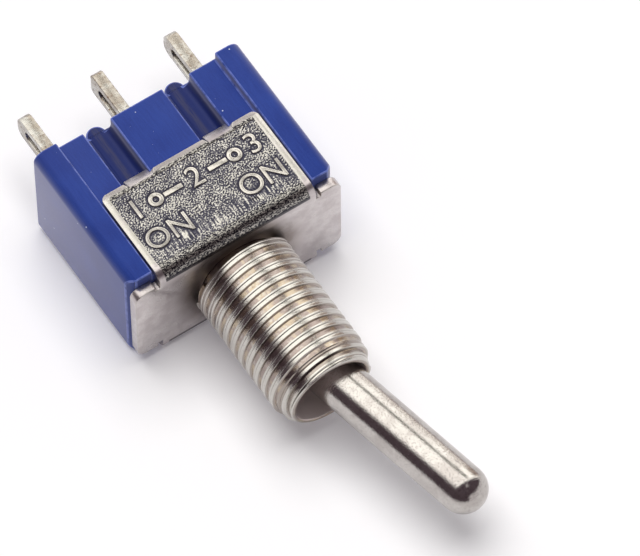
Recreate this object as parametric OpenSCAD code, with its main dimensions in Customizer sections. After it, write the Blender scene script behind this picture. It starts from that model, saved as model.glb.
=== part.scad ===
// Miniature toggle switch, single pole, two positions, with three solder lugs.
// The origin is on the bushing axis, at the outer face of the mounting plate.
// X runs along the row of terminals, +Y back to them, and the bushing and lever point along -Y.
// The switch lies on a broad side, so +Z is up. The lever is thrown to the +X side.

/* [Case] */
// Width of the moulded case, along the terminal row
case_w = 13.2; // [12.8:0.1:15]
// Length of the case behind the mounting plate
case_l = 9.6; // [9.2:0.1:12]
// Thickness of the case over its side ribs
case_h = 7.9; // [7.6:0.1:9]
// Radius of the long outer edges
case_edge_r = 0.7; // [0.3:0.05:0.9]
// Chamfer of the upright front edges
front_chamfer = 0.45; // [0.2:0.05:0.7]
// Width of the long grooves in the broad sides
groove_w = 1.72; // [1.3:0.02:2]
// Distance of each groove's middle from the middle of the case
groove_x = 2.54; // [2.3:0.02:2.8]
// Depth of the grooves below the pads between them
groove_depth = 1.1; // [0.6:0.05:1.2]
// Radius in the bottom corners of the grooves
groove_corner_r = 0.5; // [0.2:0.05:0.6]
// Radius of the half-round barriers between the terminals
barrier_r = 0.6; // [0.3:0.05:0.8]
// Width of the contact chamber
chamber_w = 11.2; // [11:0.1:11.6]
// Height of the contact chamber
chamber_h = 3; // [2.6:0.1:3.2]
// Thickness of the floor that holds the terminals
floor_t = 1.9; // [1.5:0.1:2.4]

/* [Mounting frame] */
// Sheet thickness of the stamped frame
frame_t = 0.6; // [0.5:0.05:0.7]
// Width of the two flanges that hold the case
flange_w = 10; // [9.6:0.1:10.4]
// Length of the flanges behind the plate's outer face
flange_l = 6; // [5:0.1:7]
// Radius of the flanges' rear corners
flange_corner_r = 0.4; // [0.2:0.05:0.8]
// Inner radius of the bends
bend_inner_r = 0.1; // [0.05:0.05:0.2]
// Height of the plate's ears, beside the bends
ear_h = 6.4; // [6:0.1:7]
// Radius of the ears' corners
ear_r = 0.6; // [0.3:0.05:1]
// Width of the relief notch beside each bend
notch_w = 0.3; // [0.2:0.05:0.4]
// Depth of the relief notch below the ear
notch_d = 0.35; // [0.2:0.05:0.5]
// Width of the crimped tabs that dip into the grooves
tab_w = 1.5; // [1.1:0.05:1.6]
// Length of the crimped tabs
tab_l = 0.95; // [0.6:0.05:1.2]
// Slope of the crimped tabs, in degrees
tab_slope = 34; // [20:1:40]

/* [Bushing] */
// Outer diameter of the threaded length
bushing_d = 6; // [5.9:0.05:6.4]
// Length of the bushing in front of the plate
bushing_l = 9; // [8.4:0.1:9.2]
// Length of the plain neck between the plate and the thread
relief_l = 0.3; // [0.2:0.05:0.8]
// Diameter of the plain neck, which also fills the plate's hole
neck_d = 4.9; // [4.8:0.05:5]
// Length of the turned-down taper at the bushing's mouth end
end_taper_l = 1.2; // [0.4:0.1:1.6]
// Outer diameter of the bushing's mouth end
end_d = 5; // [4.9:0.05:5.6]
// Diameter of the staked rim behind the plate
rim_d = 5.2; // [5.1:0.05:5.3]
// Thickness of the staked rim
rim_t = 0.4; // [0.3:0.05:0.6]
// Diameter of the bore behind the ball
bore_d = 4.3; // [4.24:0.02:4.4]
// Diameter of the seat that holds the ball in
seat_d = 3.6; // [3.4:0.05:3.8]
// Diameter of the mouth, where the lever stops
mouth_d = 4.5; // [4.45:0.05:4.7]
// Radial depth of the two slots that guide the pivot pin
pin_slot_depth = 0.2; // [0.16:0.02:0.24]

/* [Lever] */
// Diameter of the lever
lever_d = 2.75; // [2.5:0.05:2.8]
// Length from the pivot to the rounded tip
lever_l = 13.9; // [10:0.1:16]
// Diameter of the ball
ball_d = 4.1; // [3.9:0.05:4.14]
// Distance of the pivot in front of the plate
pivot_y = 5.5; // [5.4:0.05:5.7]
// Full throw of the lever, in degrees
lever_throw = 24; // [16:1:25]
// Diameter of the hollow stem behind the ball
stem_d = 1.9; // [1.8:0.05:1.95]
// Length from the pivot to the stem's open end
stem_l = 5.4; // [4.5:0.1:5.5]
// Diameter of the pivot pin
pin_d = 0.8; // [0.6:0.05:0.9]
// Length of the pivot pin
pin_l = 4.6; // [4.5:0.02:4.64]

/* [Plunger] */
// Diameter of the plunger
plunger_d = 1.2; // [1.1:0.05:1.3]
// Length of the plunger inside the stem at rest
plunger_grip = 2.5; // [1.5:0.1:3]
// Depth from the pivot at which the spring hole ends
spring_stop = 0.9; // [0.7:0.05:1.2]
// Wire diameter of the spring
spring_wire_d = 0.18; // [0.12:0.02:0.22]
// Outer diameter of the spring
spring_d = 1.1; // [0.9:0.05:1.1]
// Number of turns of the spring
spring_turns = 5; // [3:0.5:6]

/* [Contacts] */
// Distance of the rocker's fulcrum behind the plate's outer face
fulcrum_y = 5.8; // [5.6:0.05:6]
// Full swing of the rocker, in degrees
rocker_swing = 15; // [10:1:16]
// Length of the rocker beyond the middle of each contact
rocker_end = 0.7; // [0.5:0.05:0.8]
// Width of the rocker
rocker_w = 2.2; // [1.8:0.1:2.4]
// Sheet thickness of the rocker
rocker_t = 0.35; // [0.25:0.05:0.4]
// Half width of the rocker's dished track
track_half = 2.45; // [2.4:0.05:2.6]
// Diameter of the bead on which the rocker tilts
bead_d = 0.64; // [0.5:0.02:0.66]
// Distance of the contacts' middle inside the outer terminals
contact_inset = 0.75; // [0.65:0.05:0.95]
// Diameter of all contacts
contact_d = 1.5; // [1.2:0.05:1.6]
// Height of all contacts
contact_h = 0.3; // [0.2:0.02:0.36]
// Diameter of the contacts' rivet shanks
rivet_d = 0.7; // [0.5:0.05:0.8]

/* [Terminals] */
// Distance between neighbouring terminals
terminal_pitch = 4.75; // [4.6:0.05:4.85]
// Length of the solder lugs behind the case
lug_l = 4.2; // [3.6:0.1:6]
// Width of the solder lugs
lug_w = 1.7; // [1.4:0.05:2]
// Sheet thickness of the terminals
lug_t = 0.7; // [0.5:0.05:0.75]
// Corner radius of the outer lugs' tips
lug_tip_r = 0.6; // [0.2:0.05:0.65]
// Chamfer of the centre lug's tip
lug_tip_chamfer = 0.2; // [0.1:0.05:0.6]
// Width of the solder slot in each lug
slot_w = 0.7; // [0.5:0.05:0.8]
// Length of the solder slot
slot_l = 2.2; // [1:0.1:2.4]
// Distance from the case to the solder slot
slot_gap = 1.2; // [0.3:0.05:1.3]
// Width of the terminals inside the chamber
head_w = 2.2; // [2:0.1:2.4]
// Width of the centre terminal's saddle, along X
saddle_w = 1.6; // [1.2:0.1:1.8]
// Reach of the outer terminals' heads towards the middle
head_reach = 1.45; // [1.4:0.05:1.5]

/* [Fits] */
// Side play between the flanges and the ribs
flange_gap = 0.1; // [0.05:0.01:0.15]
// Play between pieces that are pressed or staked together
press_gap = 0.02; // [0.01:0.01:0.03]
// Radial play of the ball, the bead and the pivot pin
swivel_gap = 0.05; // [0.03:0.01:0.06]
// Radial play of the plunger in the stem
plunger_gap = 0.03; // [0.02:0.01:0.04]
// Gap between the plunger's tip and its track
track_gap = 0.03; // [0.02:0.01:0.06]
// Gap left between closed contacts
contact_gap = 0.02; // [0.01:0.01:0.04]

/* [Hidden] */
$fn = 64;

// A cutting body reaches this far past the face that it cuts.
past = 0.5;
// Side of a square whose half diagonal is 1
diagonal_cut = sqrt(2);
blue = [0.13, 0.2, 0.6];
nickel = [0.78, 0.76, 0.72];
tinned = [0.85, 0.85, 0.83];
silver = [0.9, 0.9, 0.88];
copper = [0.8, 0.5, 0.3];
nylon = [0.93, 0.91, 0.84];

// Case: the frame's plate closes its front, and its flanges lie flush with the ribs.
case_front = frame_t;
case_rear = case_front + case_l;
half_h = case_h / 2;
pad_z = half_h - frame_t;
groove_floor = pad_z - groove_depth;
rib_inner = flange_w / 2 + flange_gap;
chamber_floor = case_rear - floor_t;

// Frame
bend_outer_r = bend_inner_r + frame_t;
ear_z = ear_h / 2;

// Bushing
thread_r = bushing_d / 2;
taper_start = bushing_l - end_taper_l;
seat_ball_r = ball_d / 2 + swivel_gap;
seat_y = sqrt(pow(seat_ball_r, 2) - pow(seat_d / 2, 2));
pin_slot_r = bore_d / 2 + pin_slot_depth;

// Lever and plunger: half of the throw leans the lever to +X.
lean = lever_throw / 2;
tilt = rocker_swing / 2;
plunger_r = plunger_d / 2;
spring_hole_r = plunger_r + plunger_gap;
tip_reach = pivot_y + fulcrum_y - rocker_t - plunger_r - track_gap;
plunger_start = stem_l - plunger_grip;

// Rocker: its dished track follows the plunger's tip, seen from the tilting rocker.
tip_x = -tip_reach * sin(lean);
tip_y = tip_reach * cos(lean) - pivot_y - fulcrum_y;
tip_end = [tip_x * cos(tilt) - tip_y * sin(tilt), tip_x * sin(tilt) + tip_y * cos(tilt)];
tip_mid = tip_reach - pivot_y - fulcrum_y;
tip_sag = tip_mid - tip_end[1];
path_r = (pow(tip_end[0], 2) + pow(tip_sag, 2)) / (2 * tip_sag);
track_r = path_r + plunger_r + track_gap;
track_centre = -rocker_t - track_r;
arm_front = track_centre + sqrt(pow(track_r, 2) - pow(track_half, 2));
arm_rear = arm_front + rocker_t;
bead_r = bead_d / 2;

// Contacts: the closed moving contact stops contact_gap short of the fixed one.
contact_x = terminal_pitch - contact_inset;
rocker_l = 2 * (contact_x + rocker_end);
dome_r = (pow(contact_d / 2, 2) + pow(contact_h, 2)) / (2 * contact_h);
dome_centre = arm_rear + contact_h - dome_r;
closed_x = contact_x * cos(tilt) - dome_centre * sin(tilt);
closed_y = fulcrum_y + contact_x * sin(tilt) + dome_centre * cos(tilt) + dome_r;
fixed_face = closed_y + contact_gap;
head_front = fixed_face + contact_h;

// Terminals: the centre one's saddle stays clear of the rocker at full tilt.
lug_tip = case_rear + lug_l;
saddle_front = fulcrum_y + saddle_w / 2 * tan(tilt) + swivel_gap;

// A round bar along Y from y0 to y1.
module bar_y(r, y0, y1) {
    translate([0, y1, 0]) rotate([90, 0, 0]) cylinder(r = r, h = y1 - y0);
}

// A block that is centred on X and Z and runs from y0 to y1.
module block_y(w, h, y0, y1) {
    translate([-w / 2, y0, -h / 2]) cube([w, y1 - y0, h]);
}

// A block along Y with its four long edges rounded.
module round_block_y(w, h, r, y0, y1) {
    block_y(w - 2 * r, h, y0, y1);
    block_y(w, h - 2 * r, y0, y1);
    for (x = [-1, 1], z = [-1, 1])
        translate([x * (w / 2 - r), 0, z * (h / 2 - r)]) bar_y(r, y0, y1);
}

// Turns children from a profile of radius and height to a body of revolution along Y.
module revolve_y() {
    rotate([-90, 0, 0]) rotate_extrude() children();
}

// One long groove with rounded bottom corners, cut from above.
module groove() {
    r = groove_corner_r;
    y0 = case_front - past;
    y1 = case_rear + past;
    translate([groove_x, 0, 0]) {
        translate([-groove_w / 2, y0, groove_floor + r]) cube([groove_w, y1 - y0, case_h]);
        translate([r - groove_w / 2, y0, groove_floor]) cube([groove_w - 2 * r, y1 - y0, case_h]);
        for (side = [-1, 1])
            translate([side * (groove_w / 2 - r), 0, groove_floor + r]) bar_y(r, y0, y1);
    }
}

// The cuts in one broad side: the pads' step, the two grooves and the pads' front chamfer.
module broad_side_cuts() {
    translate([-rib_inner, case_front - past, pad_z])
        cube([2 * rib_inner, case_l + 2 * past, case_h]);
    for (side = [0, 1]) mirror([side, 0, 0]) groove();
    bend_relief = 2 * bend_inner_r;
    translate([0, case_front, pad_z]) rotate([45, 0, 0])
        cube([2 * rib_inner, bend_relief, bend_relief], center = true);
}

module case_body() {
    color(blue) difference() {
        union() {
            round_block_y(case_w, case_h, case_edge_r, case_front, case_rear);
            for (side = [-1, 1])
                translate([side * groove_x, case_rear, -groove_floor])
                    cylinder(r = barrier_r, h = 2 * groove_floor);
        }
        for (side = [0, 1]) mirror([0, 0, side]) broad_side_cuts();
        for (side = [-1, 1])
            translate([side * case_w / 2, case_front, 0]) rotate([0, 0, 45])
                cube([front_chamfer * diagonal_cut, front_chamfer * diagonal_cut, case_h + past],
                    center = true);
        block_y(chamber_w, chamber_h, case_front - past, chamber_floor);
        bar_y(rim_d / 2 + swivel_gap, case_front - past, case_front + rim_t + swivel_gap);
        for (place = [-1, 0, 1])
            translate([place * terminal_pitch, 0, 0])
                block_y(lug_t + 2 * press_gap, lug_w + 2 * press_gap, chamber_floor - past, case_rear + past);
    }
}

// The plate's outline: two ears with rounded corners and the wider middle that turns into the bends.
module plate() {
    ear_inner = flange_w / 2 + notch_w;
    round_block_y(case_w, ear_h, ear_r, 0, frame_t);
    block_y(flange_w, 2 * (half_h - bend_outer_r), 0, frame_t);
    block_y(2 * ear_inner, ear_h - 2 * notch_d, 0, frame_t);
}

// One relief notch beside a bend.
module notch() {
    translate([flange_w / 2, -past, ear_z - notch_d]) cube([notch_w, frame_t + 2 * past, half_h]);
}

// One bend between the plate and a flange.
module bend() {
    translate([-flange_w / 2, bend_outer_r, half_h - bend_outer_r]) intersection() {
        rotate([0, 90, 0]) difference() {
            cylinder(r = bend_outer_r, h = flange_w);
            translate([0, 0, -past]) cylinder(r = bend_inner_r, h = flange_w + 2 * past);
        }
        translate([0, -bend_outer_r, 0]) cube([flange_w, bend_outer_r, bend_outer_r]);
    }
}

// One crimped tab: the flange's rear edge, pushed down into a groove.
module crimp_tab() {
    translate([groove_x, flange_l - flange_corner_r, half_h]) rotate([-tab_slope, 0, 0])
        translate([-tab_w / 2, -frame_t, -frame_t]) cube([tab_w, tab_l + frame_t, frame_t]);
}

// The dip above one crimped tab, with cheeks that slope at 45 degrees.
module crimp_dip() {
    translate([groove_x, flange_l - flange_corner_r, half_h]) rotate([-tab_slope, 0, 0])
        translate([0, tab_l + past, 0]) rotate([90, 0, 0]) linear_extrude(tab_l + past)
            polygon([[-tab_w / 2, 0], [tab_w / 2, 0],
                [tab_w / 2 + frame_t, frame_t], [-tab_w / 2 - frame_t, frame_t]]);
}

// One flange, with its rear corners rounded.
module flange() {
    r = flange_corner_r;
    difference() {
        union() {
            translate([-flange_w / 2, bend_outer_r, pad_z])
                cube([flange_w, flange_l - r - bend_outer_r, frame_t]);
            translate([r - flange_w / 2, bend_outer_r, pad_z])
                cube([flange_w - 2 * r, flange_l - bend_outer_r, frame_t]);
            for (side = [-1, 1])
                translate([side * (flange_w / 2 - r), flange_l - r, pad_z])
                    cylinder(r = r, h = frame_t);
        }
        for (side = [-1, 1])
            translate([side * groove_x - tab_w / 2, flange_l - r, pad_z - past])
                cube([tab_w, r + past, frame_t + 2 * past]);
        for (side = [0, 1]) mirror([side, 0, 0]) crimp_dip();
    }
    intersection() {
        for (side = [0, 1]) mirror([side, 0, 0]) crimp_tab();
        translate([-flange_w / 2, 0, groove_floor]) cube([flange_w, case_rear, half_h - groove_floor]);
    }
}

module mounting_frame() {
    color(nickel) difference() {
        union() {
            plate();
            for (side = [0, 1]) mirror([0, 0, side]) {
                bend();
                flange();
            }
        }
        for (x = [0, 1], z = [0, 1]) mirror([x, 0, 0]) mirror([0, 0, z]) notch();
        bar_y(neck_d / 2 + press_gap, -past, frame_t + past);
    }
}

// Outer profile of the bushing: rim, neck, threaded length and the taper at the mouth end.
module bushing_outline() {
    polygon([[0, -frame_t - rim_t], [rim_d / 2, -frame_t - rim_t], [rim_d / 2, -frame_t],
        [neck_d / 2, -frame_t], [neck_d / 2, relief_l], [thread_r, relief_l],
        [thread_r, taper_start], [end_d / 2, bushing_l], [0, bushing_l]]);
}

// The bore: a straight rear part, a round seat for the ball and a cone that opens to the mouth.
module bushing_bore() {
    polygon([[0, -frame_t - rim_t - past], [bore_d / 2, -frame_t - rim_t - past],
        [bore_d / 2, pivot_y], [0, pivot_y]]);
    intersection() {
        translate([0, pivot_y]) circle(r = seat_ball_r);
        translate([0, pivot_y]) square([seat_ball_r, seat_y]);
    }
    polygon([[0, pivot_y + seat_y], [seat_d / 2, pivot_y + seat_y], [mouth_d / 2, bushing_l],
        [mouth_d / 2, bushing_l + past], [0, bushing_l + past]]);
}

// The slot in the bore in which the pivot pin's ends sit.
module pin_slot() {
    r = pin_d / 2 + swivel_gap;
    intersection() {
        union() {
            translate([-r, -pivot_y, -pin_slot_r])
                cube([2 * r, pivot_y + frame_t + rim_t + past, 2 * pin_slot_r]);
            translate([0, -pivot_y, -pin_slot_r]) cylinder(r = r, h = 2 * pin_slot_r);
        }
        bar_y(pin_slot_r, -pivot_y - 2 * r, frame_t + rim_t + past);
    }
}

module bushing() {
    color(nickel) difference() {
        mirror([0, 1, 0]) revolve_y() bushing_outline();
        mirror([0, 1, 0]) revolve_y() bushing_bore();
        pin_slot();
    }
}

// An outer lug, from the chamber's floor to its rounded tip.
module round_lug() {
    difference() {
        union() {
            block_y(lug_t, lug_w, chamber_floor, lug_tip - lug_tip_r);
            block_y(lug_t, lug_w - 2 * lug_tip_r, chamber_floor, lug_tip);
            for (side = [-1, 1])
                translate([-lug_t / 2, lug_tip - lug_tip_r, side * (lug_w / 2 - lug_tip_r)])
                    rotate([0, 90, 0]) cylinder(r = lug_tip_r, h = lug_t);
        }
        solder_slot();
    }
}

// The centre lug, with the corners of its tip cut off.
module chamfered_lug() {
    difference() {
        block_y(lug_t, lug_w, chamber_floor, lug_tip);
        for (side = [-1, 1])
            translate([0, lug_tip, side * lug_w / 2]) rotate([45, 0, 0])
                cube([lug_t + past, lug_tip_chamfer * diagonal_cut, lug_tip_chamfer * diagonal_cut],
                    center = true);
        solder_slot();
    }
}

// The slot that a wire is hooked through.
module solder_slot() {
    r = slot_w / 2;
    y0 = case_rear + slot_gap + r;
    y1 = case_rear + slot_gap + slot_l - r;
    translate([-lug_t / 2 - past, y0, -r]) cube([lug_t + 2 * past, y1 - y0, slot_w]);
    for (y = [y0, y1])
        translate([-lug_t / 2 - past, y, 0]) rotate([0, 90, 0]) cylinder(r = r, h = lug_t + 2 * past);
}

// The outer terminal on the +X side: a lug, an upright and a head bent over towards the middle.
module outer_terminal() {
    color(tinned) difference() {
        translate([terminal_pitch, 0, 0]) {
            round_lug();
            translate([0, 0, -head_w / 2]) linear_extrude(head_w) {
                translate([-lug_t / 2, head_front + lug_t])
                    square([lug_t, chamber_floor - head_front - lug_t]);
                translate([-head_reach, head_front]) square([head_reach - lug_t / 2, lug_t]);
                intersection() {
                    translate([-lug_t / 2, head_front + lug_t]) circle(r = lug_t);
                    translate([-lug_t / 2, head_front]) square([lug_t, lug_t]);
                }
            }
        }
        translate([closed_x, 0, 0])
            bar_y(rivet_d / 2 + press_gap, head_front - past, head_front + lug_t + past);
    }
}

module terminal_left() {
    mirror([1, 0, 0]) outer_terminal();
}

module terminal_right() {
    outer_terminal();
}

module terminal_centre() {
    color(tinned) {
        chamfered_lug();
        difference() {
            union() {
                block_y(lug_t, head_w, saddle_front, chamber_floor);
                block_y(saddle_w, head_w, saddle_front, saddle_front + lug_t);
            }
            translate([0, fulcrum_y, -head_w]) cylinder(r = bead_r + swivel_gap, h = 2 * head_w);
        }
    }
}

module fixed_contact_left() {
    mirror([1, 0, 0]) fixed_contact_right();
}

module fixed_contact_right() {
    color(silver) translate([closed_x, 0, 0]) {
        bar_y(contact_d / 2, fixed_face, head_front);
        bar_y(rivet_d / 2, head_front, head_front + lug_t);
    }
}

// Puts children, drawn about the pivot with the lever along -Y, at the rest position.
module lever_pose() {
    translate([0, -pivot_y, 0]) rotate([0, 0, lean]) children();
}

// Puts children, drawn about the fulcrum of a level rocker, at the rest position.
module rocker_pose() {
    translate([0, fulcrum_y, 0]) rotate([0, 0, -tilt]) children();
}

module lever() {
    color(nickel) lever_pose() difference() {
        union() {
            bar_y(lever_d / 2, lever_d / 2 - lever_l, 0);
            translate([0, lever_d / 2 - lever_l, 0]) sphere(d = lever_d);
            sphere(d = ball_d);
            bar_y(stem_d / 2, 0, stem_l);
        }
        bar_y(spring_hole_r, spring_stop, stem_l + past);
        translate([0, 0, -ball_d]) cylinder(r = pin_d / 2 + press_gap, h = 2 * ball_d);
    }
}

module pivot_pin() {
    color(nickel) translate([0, -pivot_y, -pin_l / 2]) cylinder(r = pin_d / 2, h = pin_l);
}

module plunger() {
    color(nylon) lever_pose() {
        bar_y(plunger_r, plunger_start, tip_reach);
        translate([0, tip_reach, 0]) sphere(r = plunger_r);
    }
}

// One point on the spring's wire, at an angle round the coil and an angle round the wire.
function coil_point(turn, side) =
    let (
        wire_r = spring_wire_d / 2,
        coil_r = spring_d / 2 - wire_r,
        travel = plunger_start - spring_stop - spring_wire_d,
        r = coil_r + wire_r * cos(side),
        y = spring_stop + wire_r + travel * turn / (360 * spring_turns) + wire_r * sin(side)
    )
    [r * cos(turn), y, r * sin(turn)];

module plunger_spring() {
    step = 24;
    sides = 6;
    rings = round(360 * spring_turns / step);
    points = [for (i = [0 : rings], k = [0 : sides - 1]) coil_point(i * step, k * 360 / sides)];
    walls = [for (i = [0 : rings - 1], k = [0 : sides - 1])
        let (a = i * sides + k, b = i * sides + (k + 1) % sides) [a, b, b + sides, a + sides]];
    start_cap = [for (k = [0 : sides - 1]) sides - 1 - k];
    end_cap = [for (k = [0 : sides - 1]) rings * sides + k];
    color(silver) lever_pose() polyhedron(points = points, faces = concat([start_cap], walls, [end_cap]));
}

// The rocker lies level about its fulcrum: a dished track between two flat arms, over a round bead.
module rocker_blank() {
    translate([0, 0, -rocker_w / 2]) {
        difference() {
            union() {
                intersection() {
                    translate([0, track_centre, 0]) cylinder(r = track_r + rocker_t, h = rocker_w, $fn = 160);
                    translate([-track_half, arm_front, 0])
                        cube([2 * track_half, rocker_t - arm_front, rocker_w]);
                }
                translate([-rocker_l / 2, arm_front, 0]) cube([rocker_l, rocker_t, rocker_w]);
            }
            translate([0, track_centre, -past])
                cylinder(r = track_r, h = rocker_w + 2 * past, $fn = 160);
        }
        cylinder(r = bead_r, h = rocker_w);
    }
}

module rocker() {
    color(copper) rocker_pose() difference() {
        rocker_blank();
        for (side = [-1, 1])
            translate([side * contact_x, 0, 0])
                bar_y(rivet_d / 2 + press_gap, arm_front - past, arm_rear + past);
    }
}

// One domed contact with its rivet shank, on the rocker's arm at x.
module moving_contact(x) {
    color(silver) rocker_pose() translate([x, 0, 0]) {
        intersection() {
            translate([0, dome_centre, 0]) sphere(r = dome_r);
            bar_y(contact_d / 2, arm_rear, arm_rear + 2 * contact_h);
        }
        bar_y(rivet_d / 2, arm_front, arm_rear + contact_h / 2);
    }
}

module moving_contact_left() {
    moving_contact(-contact_x);
}

module moving_contact_right() {
    moving_contact(contact_x);
}

case_body();
mounting_frame();
bushing();
terminal_left();
terminal_centre();
terminal_right();
fixed_contact_left();
fixed_contact_right();
lever();
pivot_pin();
plunger();
plunger_spring();
rocker();
moving_contact_left();
moving_contact_right();
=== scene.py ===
"""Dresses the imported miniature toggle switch: a blue moulded case in a stamped nickel frame.

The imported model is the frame. Every length in the classes below is in millimetres unless
its name says otherwise, and meshes are written in metres.
"""

import itertools
import logging
import math
from dataclasses import dataclass
from enum import Enum
from typing import Any, Iterable, Optional, Sequence, Union

import bmesh
import bpy
import numpy as np
from mathutils import Matrix, Vector
from mathutils.kdtree import KDTree


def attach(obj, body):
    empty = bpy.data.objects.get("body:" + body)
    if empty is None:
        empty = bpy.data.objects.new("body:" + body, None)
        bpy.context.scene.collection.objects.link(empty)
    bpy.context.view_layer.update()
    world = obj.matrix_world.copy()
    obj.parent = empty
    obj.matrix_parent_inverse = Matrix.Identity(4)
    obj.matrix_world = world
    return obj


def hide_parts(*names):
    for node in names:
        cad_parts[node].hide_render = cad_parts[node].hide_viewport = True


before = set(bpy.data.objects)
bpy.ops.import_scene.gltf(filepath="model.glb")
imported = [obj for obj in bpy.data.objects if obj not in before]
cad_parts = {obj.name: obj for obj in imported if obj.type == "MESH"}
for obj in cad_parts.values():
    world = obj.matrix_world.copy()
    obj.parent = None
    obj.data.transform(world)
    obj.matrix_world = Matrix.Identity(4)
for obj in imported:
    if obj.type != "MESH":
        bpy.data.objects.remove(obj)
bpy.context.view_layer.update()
log = logging.getLogger("toggle_switch")

MM = 0.001
# Mesh attributes that the finishes read: softened edges, and the ground that rings a raised sign.
EDGE = "edge"
RING = "ring"
Colour = tuple[float, float, float]
Point = tuple[float, float, float]


# ---------------------------------------------------------------- shader maths


class Sock:
    """A node socket on which shader maths is written as Python expressions."""

    def __init__(self, graph: "Graph", socket: Any) -> None:
        """Args:
            graph: the graph that new maths nodes go into.
            socket: the output socket that this object stands for.
        """
        self.graph = graph
        self.socket = socket

    def __add__(self, other: "Value") -> "Sock":
        """Sum."""
        return self.graph.math("ADD", self, other)

    def __radd__(self, other: "Value") -> "Sock":
        """Sum, with the number on the left."""
        return self.graph.math("ADD", other, self)

    def __sub__(self, other: "Value") -> "Sock":
        """Difference."""
        return self.graph.math("SUBTRACT", self, other)

    def __rsub__(self, other: "Value") -> "Sock":
        """Difference, with the number on the left."""
        return self.graph.math("SUBTRACT", other, self)

    def __mul__(self, other: "Value") -> "Sock":
        """Product."""
        return self.graph.math("MULTIPLY", self, other)

    def __rmul__(self, other: "Value") -> "Sock":
        """Product, with the number on the left."""
        return self.graph.math("MULTIPLY", other, self)

    def __truediv__(self, other: "Value") -> "Sock":
        """Quotient."""
        return self.graph.math("DIVIDE", self, other)

    def __pow__(self, other: "Value") -> "Sock":
        """Power."""
        return self.graph.math("POWER", self, other)

    def __abs__(self) -> "Sock":
        """Absolute value."""
        return self.graph.math("ABSOLUTE", self)

    def rises(self, low: float, high: float) -> "Sock":
        """A smooth mask that is 0 at low and 1 at high.

        Args:
            low: value at which the mask starts.
            high: value at which the mask is full; below low it falls instead.

        Returns:
            The mask's socket.
        """
        if low > high:
            return 1 - self.rises(high, low)
        return self.graph.node(
            "ShaderNodeMapRange",
            {"interpolation_type": "SMOOTHSTEP"},
            {"Value": self, "From Min": low, "From Max": high},
            "Result",
        )

    def within(self, low: float, high: float, edge: float) -> "Sock":
        """A mask that is 1 from low to high, with edges of a width."""
        return self.rises(low - edge, low) * self.rises(high + edge, high)

    def between(self, start: "Value", end: "Value") -> "Sock":
        """A colour that runs from start, where this mask is 0, to end, where it is 1."""
        return self.graph.node("ShaderNodeMix", {"data_type": "RGBA"}, {0: self, 6: start, 7: end}, 2)


Value = Union[Sock, float, Sequence[float]]


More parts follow.
